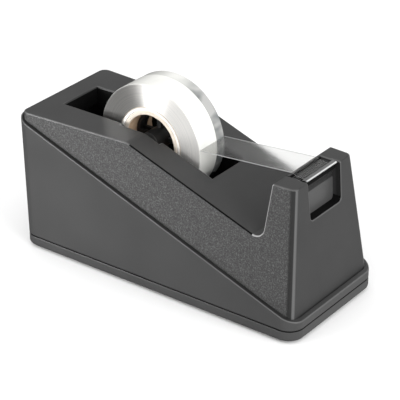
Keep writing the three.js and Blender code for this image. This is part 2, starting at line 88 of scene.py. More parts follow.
GAP = 0.3
WALL = 2
CORNER = 7.5
REAR_LEAN = 1.8
LEDGE_REAR = 64.8
LEDGE_FRONT = 10.3
LEDGE_WIDTH = 2.1
TONGUE = 2.4
SIDE_TILT = 0.168
REAR_FACE = -0.4
DECK_TOP = 67.3
BEND_X = 58.4
VALLEY_X, VALLEY_Z = 130.5, 42.3
EAR_REAR = 132.5
FRONT_FACE = 149.3
FRONT_TILT = 0.092
REAR_ROUND = 4
FRONT_ROUND, FRONT_ROUND_TOP = 3.4, 2.6
WELL_REAR, WELL_FRONT, WELL_HALF, WELL_FLOOR = 10.5, 94, 11.7, 30
SLOT_HALF, SLOT_MOUTH = 14, 13
EAR_INNER = 12
POCKET_BOTTOM, POCKET_DEPTH = 50.2, 4.2
POCKET_HALF_LOW, POCKET_HALF_HIGH = 11.7, 12.4
SHELF_BOTTOM, SHELF_TOP = 59.6, 62.6
PANEL_TOP, PANEL_STEP = 61, 0.5
LUG_TOP = 8.6
SCREWS = [(14, -22), (14, 22), (143.4, -19), (143.4, 19)]
SCREW_SHANK, SCREW_HEAD = 1.6, 3.2
PLATFORM_SCREWS = [(136.3, -7), (136.3, 7)]
PLATFORM_BORE = 1.4
CASE_BORE_TOP = 22  # top of the case screws
BOSS_RADIUS, FRONT_BOSS_TOP = 3.4, 31  # bosses in the upper housing
PLATE_TOP, PLATE_FLOOR = 6, 3.6
PLATE_EDGE, PLATE_RIM = 1.4, 2.4
CASE_BOSS, HEAD_SEAT = 5, 3.3
BALLAST_SCREWS = (33, 117)
BALLAST_BOSS, BALLAST_SHANK, BALLAST_BORE_FLOOR = 4.4, 2, 2.4
LIP_FRONT, PLATFORM_DECK = 134.4, 67.3
UNDERCUT_X, UNDERCUT_TOP = 139.6, 65
BLADE_LEG_X, BLADE_THICK, BLADE_SEAT = 140.4, 0.5, 65.6
BLADE_REACH, BLADE_LIFT, TOOTH_PITCH = 2.7, 6, 0.95
RIB_PITCH, RIB_WIDTH, RIB_DEPTH = 1.1, 0.5, 0.3
HUB_RIM, HUB_WEB, HUB_BOSS, HUB_BOSS_HALF = 1.8, 1.6, 5, 10.1
ABOVE, BEYOND, BELOW = 90, 60, -15  # clear of the object's top, of its sides and of its bottom

CORNER_STEPS = 12

# ---------- outlines ----------


def front_face(z):
    return FRONT_FACE - FRONT_TILT * (z - LEDGE_FRONT)


def rounded(corners, steps=CORNER_STEPS):
    """Rounds the corners of a polygon given as (x, y, radius), anticlockwise."""
    points = []
    for i, corner in enumerate(corners):
        here = Vector(corner[:2])
        radius = corner[2] if len(corner) > 2 else 0
        if radius <= 0:
            points.append(here)
            continue
        back = (Vector(corners[i - 1][:2]) - here).normalized()
        on = (Vector(corners[(i + 1) % len(corners)][:2]) - here).normalized()
        half = math.acos(max(-1, min(1, back.dot(on)))) / 2
        centre = here + (back + on).normalized() * (radius / math.sin(half))
        start = here + back * (radius / math.tan(half)) - centre
        end = here + on * (radius / math.tan(half)) - centre
        first = math.atan2(start.y, start.x)
        sweep = math.atan2(end.y, end.x) - first
        if sweep > math.pi:
            sweep -= 2 * math.pi
        if sweep < -math.pi:
            sweep += 2 * math.pi
        for k in range(steps + 1):
            angle = first + sweep * k / steps
            points.append(centre + Vector((math.cos(angle), math.sin(angle))) * radius)
    return points


def inset(corners, distance):
    """Moves every side of an anticlockwise polygon inwards."""
    count = len(corners)
    sides = []
    for i, corner in enumerate(corners):
        here = Vector(corner[:2])
        along = (Vector(corners[(i + 1) % count][:2]) - here).normalized()
        sides.append((here + Vector((-along.y, along.x)) * distance, along))
    moved = []
    for i, corner in enumerate(corners):
        point_a, along_a = sides[i - 1]
        point_b, along_b = sides[i]
        turn = along_a.cross(along_b)
        t = (point_b - point_a).cross(along_b) / turn
        radius = corner[2] if len(corner) > 2 else 0
        change = -distance if turn > 0 else distance
        met = point_a + along_a * t
        moved.append((met.x, met.y, max(radius + change, 0.2) if radius > 0 else 0))
    return moved


def circle(radius, x, y):
    sides = 32
    return [
        Vector((x + radius * math.cos(2 * math.pi * i / sides),
                y + radius * math.sin(2 * math.pi * i / sides)))
        for i in range(sides)
    ]


def box2(x0, x1, y0, y1, radius=0):
    return rounded([(x0, y0, radius), (x1, y0, radius), (x1, y1, radius), (x0, y1, radius)])


# ---------- solids, in drawn millimetres ----------


def solid(vertices, faces):
    mesh = bpy.data.meshes.new("solid")
    mesh.from_pydata([tuple(v) for v in vertices], [], faces)
    work = bmesh.new()
    work.from_mesh(mesh)
    bmesh.ops.recalc_face_normals(work, faces=work.faces)
    work.to_mesh(mesh)
    work.free()
    # Placeholder slots for plain faces, painted-highlight edges, painted shade, the panel's painted
    # light and the rise's painted highlight.
    for slot_name in ("face", "edge", "dark", "panel", "rise"):
        mesh.materials.append(bpy.data.materials.get(slot_name) or bpy.data.materials.new(slot_name))
    made = bpy.data.objects.new("solid", mesh)
    bpy.context.scene.collection.objects.link(made)
    return made


def stack(rings):
    """A solid through rings of points, closed at both ends."""
    count = len(rings[0])
    vertices = [point for ring in rings for point in ring]
    faces = [list(range(count))[::-1], [(len(rings) - 1) * count + i for i in range(count)]]
    for level in range(len(rings) - 1):
        base = level * count
        for i in range(count):
            j = (i + 1) % count
            faces.append([base + i, base + j, base + count + j, base + count + i])
    return solid(vertices, faces)


def upright(points, low, high):
    return stack([[Vector((p.x, p.y, z)) for p in points] for z in (low, high)])


def across(points, low, high):
    """A side view (x, z) drawn across the object along Y."""
    return stack([[Vector((p.x, y, p.y)) for p in points] for y in (low, high)])


def forward(points, low, high):
    """A front view (y, z) drawn forward along X."""
    return stack([[Vector((x, p.x, p.y)) for p in points] for x in (low, high)])


def lathe(profile, sides):
    """A ring turned about the roll's axis from a closed (radius, y) profile."""
    count = len(profile)
    vertices = []
    for i in range(sides):
        angle = 2 * math.pi * i / sides
        for radius, y in profile:
            vertices.append((AXIS_X + radius * math.cos(angle), y, AXIS_Z + radius * math.sin(angle)))
    faces = []
    for i in range(sides):
        a, b = i * count, ((i + 1) % sides) * count
        for k in range(count):
            m = (k + 1) % count
            faces.append([a + k, a + m, b + m, b + k])
    return solid(vertices, faces)


def discard(item):
    mesh = item.data
    bpy.data.objects.remove(item)
    bpy.data.meshes.remove(mesh)


def apply_modifiers(item):
    graph = bpy.context.evaluated_depsgraph_get()
    made = bpy.data.meshes.new_from_object(item.evaluated_get(graph))
    old = item.data
    item.modifiers.clear()
    item.data = made
    bpy.data.meshes.remove(old)
    return item


def combine(item, tool, operation):
    change = item.modifiers.new("combine", "BOOLEAN")
    change.operation = operation
    change.solver = "EXACT"
    change.object = tool
    apply_modifiers(item)
    discard(tool)
    return item


def join(item, *tools):
    for tool in tools:
        combine(item, tool, "UNION")
    return item


def cut(item, *tools):
    for tool in tools:
        combine(item, tool, "DIFFERENCE")
    return item


def keep(item, *tools):
    for tool in tools:
        combine(item, tool, "INTERSECT")
    return item


def clean(item, distance=0.004):
    """Welds the short edges that booleans leave, so that the edge rounding stays even."""
    work = bmesh.new()
    work.from_mesh(item.data)
    bmesh.ops.remove_doubles(work, verts=work.verts, dist=distance)
    bmesh.ops.dissolve_degenerate(work, edges=work.edges, dist=distance)
    bmesh.ops.dissolve_limit(work, angle_limit=math.radians(0.3), verts=work.verts, edges=work.edges)
    bmesh.ops.recalc_face_normals(work, faces=work.faces)
    work.to_mesh(item.data)
    work.free()
    return item


FACE_SLOT = 0  # the material slot of plain faces
EDGE_SLOT = 1  # and of the rounded edges, which most pieces paint lighter as a painted highlight
SHADE_SLOT = 2  # and of the faces painted near-black as painted shade
PANEL_SLOT = 3  # and of the panel in the front pocket, painted lighter as painted light against the pocket's shade
RISE_SLOT = 4  # and of the rounded edges of the rise behind the cutter, painted bright as a painted highlight


def soften(item, width, rule, sharp=30, segments=3):
    """Rounds the outer edges sharper than the angle given, by width times the rule's share."""
    clean(item)
    work = bmesh.new()
    work.from_mesh(item.data)
    layer = work.edges.layers.float.get("bevel_weight_edge")
    if layer is None:
        layer = work.edges.layers.float.new("bevel_weight_edge")
    for edge in work.edges:
        edge[layer] = 0
        if len(edge.link_faces) != 2 or not edge.is_convex:
            continue
        if math.degrees(edge.calc_face_angle(0)) < sharp:
            continue
        middle = (edge.verts[0].co + edge.verts[1].co) / 2
        edge[layer] = rule(middle)
    work.to_mesh(item.data)
    work.free()
    change = item.modifiers.new("round", "BEVEL")
    change.limit_method = "WEIGHT"
    change.width = width
    change.segments = segments
    change.use_clamp_overlap = False
    change.miter_outer = "MITER_SHARP"
    change.material = EDGE_SLOT
    return apply_modifiers(item)


def piece(item, name, body, slot, finishes, *replaced, smooth=38):
    """Names a finished shape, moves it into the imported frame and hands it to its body."""
    item.name = name
    item.data.name = name
    weights = item.data.attributes.get("bevel_weight_edge")
    if weights is not None:
        item.data.attributes.remove(weights)
    item.data.transform(Matrix.Translation((ORIGIN_X * MM, 0, 0)) @ Matrix.Scale(MM, 4))
    indices = [polygon.material_index for polygon in item.data.polygons]
    item.data.materials.clear()
    for finish in finishes:
        item.data.materials.append(MATERIALS[finish])
    for polygon, index in zip(item.data.polygons, indices):
        polygon.material_index = min(index, len(finishes) - 1)
        polygon.use_smooth = True
    item.data.set_sharp_from_angle(angle=math.radians(smooth))
    weigh = item.modifiers.new("weigh", "WEIGHTED_NORMAL")
    weigh.keep_sharp = True
    weigh.weight = 90
    apply_modifiers(item)
    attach(item, body)
    if replaced:
        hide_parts(*replaced)
    return item


# ---------- materials ----------


def add(tree, kind, inputs=None, **settings):
    node = tree.nodes.new(kind)
    for key, value in settings.items():
        setattr(node, key, value)
    for key, value in (inputs or {}).items():
        socket = node.inputs[key]
        if isinstance(value, bpy.types.NodeSocket):
            tree.links.new(value, socket)
        else:
            socket.default_value = value
    return node


def grey(value):
    return (value, value, value, 1)


def shader(name, **constants):
    """A Principled material with its constants set on its own sockets."""
    material = bpy.data.materials.new(name)
    material.use_nodes = True
    tree = material.node_tree
    surface = tree.nodes["Principled BSDF"]
    for key, value in constants.items():
        surface.inputs[key.replace("_", " ")].default_value = value
    return material, tree, surface


def place(tree, stretch=(1, 1, 1)):
    """Points in the object's own frame, stretched for grain that runs one way."""
    where = add(tree, "ShaderNodeTexCoord")
    mapped = add(tree, "ShaderNodeMapping", {"Vector": where.outputs["Object"], "Scale": stretch})
    return mapped.outputs["Vector"]


def noise(tree, where, scale, detail=2.0, rough=0.5):
    made = add(tree, "ShaderNodeTexNoise", {
        "Vector": where, "Scale": scale, "Detail": detail, "Roughness": rough,
    })
    return made.outputs["Fac"]


def ramp(tree, value, stops):
    made = add(tree, "ShaderNodeValToRGB", {"Fac": value})
    elements = made.color_ramp.elements
    while len(elements) < len(stops):
        elements.new(0.5)
    for element, (position, colour) in zip(elements, stops):
        element.position = position
        element.color = colour
    return made.outputs["Color"]


def spread(tree, value, low, high, to_low, to_high, smooth=False):
    made = add(tree, "ShaderNodeMapRange", {
        "Value": value, "From Min": low, "From Max": high, "To Min": to_low, "To Max": to_high,
    })
    if smooth:
        made.interpolation_type = "SMOOTHSTEP"
    return made.outputs["Result"]


def math_node(tree, operation, a, b=0.0):
    made = add(tree, "ShaderNodeMath", operation=operation)
    for socket, value in zip(made.inputs, (a, b)):
        if isinstance(value, bpy.types.NodeSocket):
            tree.links.new(value, socket)
        else:
            socket.default_value = value
    return made.outputs[0]


def blend_colour(tree, share, a, b):
    made = add(tree, "ShaderNodeMix", data_type="RGBA")
    for key, value in ((0, share), (6, a), (7, b)):
        if isinstance(value, bpy.types.NodeSocket):
            tree.links.new(value, made.inputs[key])
        else:
            made.inputs[key].default_value = value
    return made.outputs[2]


def bump(tree, surface, height, strength, distance):
    made = add(tree, "ShaderNodeBump", {
        "Height": height, "Strength": strength, "Distance": distance,
    })
    tree.links.new(made.outputs["Normal"], surface.inputs["Normal"])


def moulded(name, dark, light, roughness, specular=0.35):
    """Plain moulded plastic: a fine orange-peel, faint cloudiness and scuffed gloss."""
    material, tree, surface = shader(name, Specular_IOR_Level=specular)
    where = place(tree)
    cloud = noise(tree, where, 38.0, 3.0)
    tint = ramp(tree, cloud, [(0.3, grey(dark)), (0.7, grey(light))])
    tree.links.new(tint, surface.inputs["Base Color"])
    fine = noise(tree, where, 900.0, 2.0)
    gloss = spread(tree, cloud, 0.3, 0.7, roughness - 0.04, roughness + 0.04)
    tree.links.new(gloss, surface.inputs["Roughness"])
    bump(tree, surface, fine, 0.12, 0.0001)
    return material


def grained_plastic():
    """Housing plastic: spark-eroded grain on the sides, smooth on the top and the front, a painted
    shade band near the front corners and a painted highlight on the rounded corners.
    """
    material, tree, surface = shader("grained_plastic", Specular_IOR_Level=0.25)
    where = place(tree)
    facing = add(tree, "ShaderNodeNewGeometry").outputs["Normal"]
    parts = add(tree, "ShaderNodeSeparateXYZ", {"Vector": facing})
    sideways = math_node(tree, "ABSOLUTE", parts.outputs["Y"])
    spot = add(tree, "ShaderNodeSeparateXYZ", {"Vector": where})
    outside = 0.0165  # the well and the pocket lie nearer the middle than this
    outer = math_node(tree, "GREATER_THAN", math_node(tree, "ABSOLUTE", spot.outputs["Y"]), outside)
    facing_out = spread(tree, sideways, 0.9, 0.975, 0.0, 1.0, smooth=True)
    side = math_node(tree, "MULTIPLY", facing_out, outer)
    coarse = noise(tree, where, 1700.0, 2.0, 0.6)
    cloud = noise(tree, where, 60.0, 3.0)
    speckle = ramp(tree, coarse, [
        (0.34, grey(0.026)), (0.52, grey(0.042)), (0.70, grey(0.082)),
    ])
    smooth = ramp(tree, cloud, [(0.3, grey(0.026)), (0.7, grey(0.030))])
    tint = blend_colour(tree, side, smooth, speckle)
    # Painted shade: near the front, where the corner rounding starts to turn, the colour goes
    # near-black as a dark band.
    turned = spread(tree, sideways, 0.56, 0.72, 0.0, 1.0, smooth=True)
    lean = math_node(tree, "MULTIPLY", spot.outputs["Z"], FRONT_TILT)
    ahead = math_node(tree, "ADD", spot.outputs["X"], lean)
    corner = (front_face(0) - FRONT_ROUND + ORIGIN_X) * MM
    at_corner = spread(tree, ahead, corner, corner + 0.0014, 0.0, 0.9, smooth=True)
    tint = blend_colour(tree, math_node(tree, "MULTIPLY", turned, at_corner), tint, grey(0.010))
    # Painted highlight: further round the corner, towards the front face, the colour goes lighter as a
    # light line.
    rounding = spread(tree, sideways, 0.15, 0.4, 0.0, 1.0, smooth=True)
    painted_corner_highlight = math_node(tree, "MULTIPLY", rounding, math_node(tree, "SUBTRACT", 1.0, turned))
    tint = blend_colour(tree, painted_corner_highlight, tint, grey(0.085))
    tree.links.new(tint, surface.inputs["Base Color"])
    tree.links.new(spread(tree, side, 0, 1, 0.5, 0.62), surface.inputs["Roughness"])
    height = math_node(tree, "MULTIPLY", coarse, spread(tree, side, 0, 1, 0.08, 1.0))
    bump(tree, surface, height, 0.7, 0.0003)
    return material


def about_axis(tree, where):
    """Distance from the roll's axis, and the place along it, in metres."""
    centre = Vector(((AXIS_X + ORIGIN_X) * MM, 0, AXIS_Z * MM))
    offset = add(tree, "ShaderNodeVectorMath", {0: where, 1: tuple(-centre)}, operation="ADD")
    parts = add(tree, "ShaderNodeSeparateXYZ", {"Vector": offset.outputs[0]})
    square_x = math_node(tree, "POWER", parts.outputs["X"], 2.0)
    square_z = math_node(tree, "POWER", parts.outputs["Z"], 2.0)
    radius = math_node(tree, "SQRT", math_node(tree, "ADD", square_x, square_z))
    return radius, parts.outputs["Y"], parts.outputs["X"]


def sideways_share(tree, low, high):
    """How far the surface faces along the roll's axis, in the piece's own frame."""
    facing = add(tree, "ShaderNodeNewGeometry").outputs["Normal"]
    local = add(tree, "ShaderNodeVectorTransform", {"Vector": facing}, vector_type="NORMAL",
                convert_from="WORLD", convert_to="OBJECT")
    parts = add(tree, "ShaderNodeSeparateXYZ", {"Vector": local.outputs["Vector"]})
    sideways = math_node(tree, "ABSOLUTE", parts.outputs["Y"])
    return spread(tree, sideways, low, high, 0.0, 1.0, smooth=True)


def wound_film():
    """Many turns of clear film: milky and glossy, with fine rings and a radial sheen, partly painted:
    the side's metallic share and the far band's grey follow the sector facing forward.
    """
    material, tree, surface = shader("wound_film", IOR=1.5, Anisotropic=0.95, Anisotropic_Rotation=0.25)
    where = add(tree, "ShaderNodeTexCoord").outputs["Object"]
    radius, along, ahead = about_axis(tree, where)
    facing_ahead = math_node(tree, "DIVIDE", ahead, radius)
    rings = add(tree, "ShaderNodeTexNoise", {
        "W": math_node(tree, "MULTIPLY", radius, 1000.0),
        "Scale": 2.4, "Detail": 3.0, "Roughness": 0.7,
    }, noise_dimensions="1D").outputs["Fac"]
    side = ramp(tree, rings, [(0.3, (0.56, 0.56, 0.55, 1)), (0.7, (0.72, 0.70, 0.67, 1))])
    patches = noise(tree, place(tree, (1, 0.6, 1)), 110.0, 2.0)
    near = ramp(tree, patches, [(0.3, (0.66, 0.66, 0.63, 1)), (0.7, (0.76, 0.76, 0.73, 1))])
    far = ramp(tree, patches, [(0.42, (0.17, 0.18, 0.18, 1)), (0.58, (0.40, 0.40, 0.39, 1))])
    # The far band along the axis is greyer film; the share below shows it mainly on the sector facing
    # forward, a painted shade that turns with the roll.
    band = spread(tree, along, 0.0032, 0.0038, 0.0, 1.0, smooth=True)
    front_sector_shade = spread(tree, facing_ahead, 0.1, 0.65, 0.12, 1.0, smooth=True)
    tread = blend_colour(tree, math_node(tree, "MULTIPLY", band, front_sector_shade), near, far)
    on_side = sideways_share(tree, 0.5, 0.9)
    tree.links.new(blend_colour(tree, on_side, tread, side), surface.inputs["Base Color"])
    tread_metal = spread(tree, band, 0, 1, 0.05, 0.3)
    # Painted sheen: the side's metallic share drops towards the sector facing forward, so these sheen
    # sectors are painted and turn with the roll.
    front_sector_sheen = spread(tree, facing_ahead, -0.1, 0.7, 0.94, 0.60, smooth=True)
    side_metal = math_node(tree, "MULTIPLY", on_side, front_sector_sheen)
    rest = math_node(tree, "SUBTRACT", 1.0, on_side)
    metal = math_node(tree, "ADD", side_metal, math_node(tree, "MULTIPLY", rest, tread_metal))
    tree.links.new(metal, surface.inputs["Metallic"])
    tree.links.new(spread(tree, on_side, 0, 1, 0.2, 0.38), surface.inputs["Roughness"])
    tangent = add(tree, "ShaderNodeTangent", direction_type="RADIAL", axis="Y")
    tree.links.new(tangent.outputs["Tangent"], surface.inputs["Tangent"])
    bump(tree, surface, rings, 0.3, 0.0001)
    return material


def card_material():
    """The core: pale card on the face, brown board inside the bore."""
    material, tree, surface = shader("core_card", Roughness=0.7)
    where = add(tree, "ShaderNodeTexCoord").outputs["Object"]
    radius = about_axis(tree, where)[0]
    on_side = sideways_share(tree, 0.35, 0.6)
    fibres = noise(tree, place(tree), 420.0, 4.0, 0.65)
    kraft = ramp(tree, fibres, [(0.3, (0.56, 0.38, 0.24, 1)), (0.7, (0.72, 0.53, 0.36, 1))])
    cream = ramp(tree, fibres, [(0.3, (0.50, 0.44, 0.37, 1)), (0.7, (0.58, 0.53, 0.46, 1))])
    pale = ramp(tree, fibres, [(0.3, (0.62, 0.60, 0.57, 1)), (0.7, (0.68, 0.66, 0.63, 1))])
    ring = spread(tree, radius, 0.0148, 0.0151, 0.0, 1.0, smooth=True)
    face = blend_colour(tree, ring, cream, pale)
    joint = spread(tree, radius, CORE_OUTER * MM - 0.0005, CORE_OUTER * MM - 0.0002, 0.0, 1.0)
    face = blend_colour(tree, joint, face, (0.36, 0.33, 0.29, 1))
    tree.links.new(blend_colour(tree, on_side, kraft, face), surface.inputs["Base Color"])
    plies = math_node(tree, "SINE", math_node(tree, "MULTIPLY", radius, 9000.0))
    height = math_node(tree, "ADD", math_node(tree, "MULTIPLY", plies, 0.4), fibres)
    bump(tree, surface, height, 0.3, 0.0001)
    return material


def clear_film():
    """One layer of clear film: mostly see-through, softened by its adhesive."""
    material, tree, surface = shader("clear_film", Transmission_Weight=1.0, IOR=1.18)
    streaks = noise(tree, place(tree, (0.15, 1, 1)), 260.0, 3.0)
    tree.links.new(spread(tree, streaks, 0.3, 0.7, 0.16, 0.24), surface.inputs["Roughness"])
    tint = ramp(tree, streaks, [(0.3, (0.88, 0.88, 0.87, 1)), (0.7, (0.95, 0.95, 0.94, 1))])
    tree.links.new(tint, surface.inputs["Base Color"])
    bump(tree, surface, streaks, 0.05, 0.0001)
    return material


def steel(name, dark, light, roughness, stretch, bright_from=None):
    material, tree, surface = shader(name, Metallic=1.0, Anisotropic=0.4)
    where = place(tree, stretch)
    brushed = noise(tree, where, 700.0, 3.0, 0.6)
    tint = ramp(tree, brushed, [(0.3, grey(dark)), (0.7, grey(light))])
    # The blade's front 0.9 mm, along the teeth, is near-white steel, a bright band.
    if bright_from is not None:
        along = add(tree, "ShaderNodeSeparateXYZ", {"Vector": where}).outputs["X"]
        bright_band = spread(tree, along, bright_from, bright_from + 0.0002, 0.0, 1.0)
        tint = blend_colour(tree, bright_band, tint, grey(0.95))
    tree.links.new(tint, surface.inputs["Base Color"])
    tree.links.new(spread(tree, brushed, 0.3, 0.7, roughness - 0.06, roughness + 0.08),
                   surface.inputs["Roughness"])
    bump(tree, surface, brushed, 0.15, 0.00005)
    return material


def rubber():
    material, tree, surface = shader("pad_rubber", IOR=1.45)
    where = place(tree)
    cells = noise(tree, where, 1400.0, 3.0, 0.7)
    tree.links.new(ramp(tree, cells, [(0.3, grey(0.012)), (0.7, grey(0.03))]),
                   surface.inputs["Base Color"])
    tree.links.new(spread(tree, cells, 0.3, 0.7, 0.8, 0.95), surface.inputs["Roughness"])
    bump(tree, surface, cells, 0.6, 0.0003)
    return material


MATERIALS = {
    "pad_rubber": rubber(),
    "smooth_plastic": moulded("smooth_plastic", 0.035, 0.040, 0.42),
    "grained_plastic": grained_plastic(),
    # Dark plastic of the hubs, the platform and the axle ends, and painted shade on the ledge and the
    # tray's rim.
    "dark_plastic": moulded("dark_plastic", 0.010, 0.016, 0.36),
    # Near-black, for faces painted as painted shade.
    "painted_shade_black": moulded("painted_shade_black", 0.004, 0.006, 0.8, specular=0.03),
    # Lighter, for rounded edges painted as a painted highlight.
    "edge_highlight_plastic": moulded("edge_highlight_plastic", 0.055, 0.072, 0.36),
    # Bright, a painted highlight on the rise's edges.
    "rise_edge_highlight": moulded("rise_edge_highlight", 0.22, 0.26, 0.36),
    "ballast_steel": steel("ballast_steel", 0.22, 0.38, 0.5, (1, 0.1, 1)),
    "screw_steel": steel("screw_steel", 0.35, 0.5, 0.32, (1, 1, 0.1)),
    # Lighter than the front face, painted light for the pocket's panel.
    "panel_painted_light": moulded("panel_painted_light", 0.048, 0.055, 0.4),
    "blade_steel": steel("blade_steel", 0.16, 0.26, 0.3, (1, 0.08, 1), (blade_high.x - 0.9) * MM),
    "core_card": card_material(),
    "wound_film": wound_film(),
    "clear_film": clear_film(),
    # Grey, a painted highlight along the strand's edges.
    "film_edge_highlight": moulded("film_edge_highlight", 0.28, 0.36, 0.3),
}

# ---------- shared envelopes ----------

PARTING_SLOPE = (LEDGE_FRONT - LEDGE_REAR) / LENGTH
PARTING_COS = math.cos(math.atan(-PARTING_SLOPE))


def parting(x):
    return LEDGE_REAR + PARTING_SLOPE * x


def side_half(x, z):
    above = (z - parting(x)) * PARTING_COS
    return HALF_WIDTH - LEDGE_WIDTH - GAP - SIDE_TILT * above


def tongue_foot(x):
    return parting(x) - TONGUE


foot_front = front_face(tongue_foot(LENGTH))
UPPER_CORNERS = [
    (REAR_FACE, tongue_foot(REAR_FACE)),
    (foot_front, tongue_foot(foot_front)),
    (front_face(EAR_TOP), EAR_TOP, 0.9),
    (EAR_REAR, EAR_TOP, 0.8),
    (VALLEY_X, VALLEY_Z, 4),
    (BEND_X, DECK_TOP, 9),
    (REAR_FACE, DECK_TOP, 1),
]


def tilted_walls(grow):
    low, high = -20, 80
    narrowing = (FRONT_ROUND - FRONT_ROUND_TOP) / (EAR_TOP - LEDGE_FRONT)
    rings = []
    for z in (low, high):
        rear = REAR_FACE - grow
        front = front_face(z) + grow
        rear_half = side_half(rear, z) + grow
        front_half = side_half(front, z) + grow
        front_round = max(FRONT_ROUND - narrowing * (z - LEDGE_FRONT) + grow, 0.2)
        rear_round = REAR_ROUND + grow
        outline = rounded([
            (rear, -rear_half, rear_round),
            (front, -front_half, front_round),
            (front, front_half, front_round),
            (rear, rear_half, rear_round),
        ])
        rings.append([Vector((p.x, p.y, z)) for p in outline])
    half = HALF_WIDTH - LEDGE_WIDTH - GAP + grow
    limit = upright(box2(REAR_FACE - grow, LENGTH, -half, half, REAR_ROUND + grow), low, high)
    return keep(stack(rings), limit)


def open_below(corners):
    return [(c[0], BELOW if i < 2 else c[1], *c[2:]) for i, c in enumerate(corners)]


def upper_envelope(grow):
    outline = rounded(inset(UPPER_CORNERS, -grow))
    return keep(tilted_walls(grow), across(outline, -2 * HALF_WIDTH, 2 * HALF_WIDTH))


def plan_outline(grow, lean=0):
    return box2(-lean - grow, LENGTH + grow, -HALF_WIDTH - grow, HALF_WIDTH + grow, CORNER + grow)


# ---------- upper housing ----------

WELL_CORNERS = [
    (WELL_REAR, WELL_FLOOR, 3),
    (WELL_FRONT, WELL_FLOOR, 3),
    (WELL_FRONT, ABOVE),
    (WELL_REAR, ABOVE),
]


def axle_slot():
    seat = END_RADIUS + GAP
    steps = 24
    points = []
    for i in range(steps + 1):
        angle = math.pi + math.pi * i / steps
        points.append(Vector((AXIS_X + seat * math.cos(angle), AXIS_Z + seat * math.sin(angle))))
    points += [
        Vector((AXIS_X + seat, AXIS_Z + 1)),
        Vector((AXIS_X + SLOT_MOUTH, DECK_TOP)),
        Vector((AXIS_X + SLOT_MOUTH, DECK_TOP + 20)),
        Vector((AXIS_X - SLOT_MOUTH, DECK_TOP + 20)),
        Vector((AXIS_X - SLOT_MOUTH, DECK_TOP)),
        Vector((AXIS_X - seat, AXIS_Z + 1)),
    ]
    return across(points, -SLOT_HALF, SLOT_HALF)


def front_pocket():
    outline = rounded([
        (-POCKET_HALF_LOW, POCKET_BOTTOM, 2),
        (POCKET_HALF_LOW, POCKET_BOTTOM, 2),
        (POCKET_HALF_HIGH, EAR_TOP),
        (POCKET_HALF_HIGH, ABOVE),
        (-POCKET_HALF_HIGH, ABOVE),
        (-POCKET_HALF_HIGH, EAR_TOP),
    ])
    low = POCKET_BOTTOM - 5
    depth = [
        Vector((front_face(low) - POCKET_DEPTH, low)),
        Vector((LENGTH + 5, low)),
        Vector((LENGTH + 5, ABOVE)),
        Vector((front_face(ABOVE) - POCKET_DEPTH, ABOVE)),
    ]
    return keep(forward(outline, 120, LENGTH + 5), across(depth, -BEYOND, BEYOND))


def well_tool(grow=0):
    return across(rounded(inset(WELL_CORNERS, -grow)), -WELL_HALF - grow, WELL_HALF + grow)


def upper_shell():
    outer = upper_envelope(0)
    cut(
        outer,
        well_tool(),
        axle_slot(),
        front_pocket(),
        forward(box2(-EAR_INNER, EAR_INNER, SHELF_TOP, ABOVE), 120, LENGTH + 5),
        forward(
            box2(-POCKET_HALF_LOW, POCKET_HALF_LOW, PANEL_TOP, SHELF_TOP + 1),
            front_face(PANEL_TOP) - POCKET_DEPTH - PANEL_STEP, LENGTH,
        ),
    )
    parting_edge = TONGUE + 0.6

    def share(p):
        if p.z < parting(p.x) - parting_edge + 1.5:
            return 0
        if abs(p.y) < WELL_HALF + 0.2 and p.x < WELL_FRONT + 0.5:
            return 0.85 if p.z > WELL_FLOOR + 5 else 0
        return 0.5

    soften(outer, 1.0, share)

    cavity_corners = open_below(inset(UPPER_CORNERS, WALL))
    hollow = keep(tilted_walls(-WALL), across(rounded(cavity_corners), -BEYOND, BEYOND))
    pad_foot = 50
    pads = box2(AXIS_X - SLOT_MOUTH - WALL, AXIS_X + SLOT_MOUTH + WALL, pad_foot, ABOVE)
    pocket_half = POCKET_HALF_HIGH + WALL
    pocket_wall = box2(-pocket_half, pocket_half, POCKET_BOTTOM - WALL, EAR_TOP)
    shelf = box2(-EAR_INNER - WALL, EAR_INNER + WALL, SHELF_BOTTOM, EAR_TOP)
    cut(
        hollow,
        well_tool(WALL),
        across(pads, -SLOT_HALF - WALL, SLOT_HALF + WALL),
        forward(pocket_wall, front_face(55) - POCKET_DEPTH - 1.8, LENGTH),
        forward(shelf, EAR_REAR + 0.5, LENGTH),
    )
    for x, y in SCREWS:
        top = FRONT_BOSS_TOP if x > LENGTH / 2 else DECK_TOP
        cut(hollow, upright(circle(BOSS_RADIUS, x, y), LUG_TOP + GAP, top))
    cut(outer, hollow)
    for x, y in SCREWS:
        cut(outer, upright(circle(SCREW_SHANK + GAP, x, y), LUG_TOP - 1, CASE_BORE_TOP + GAP))
    for x, y in PLATFORM_SCREWS:
        cut(outer, upright(circle(PLATFORM_BORE, x, y), SHELF_BOTTOM - 1, SHELF_TOP + 1))
    return outer


# ---------- lower housing and base ----------


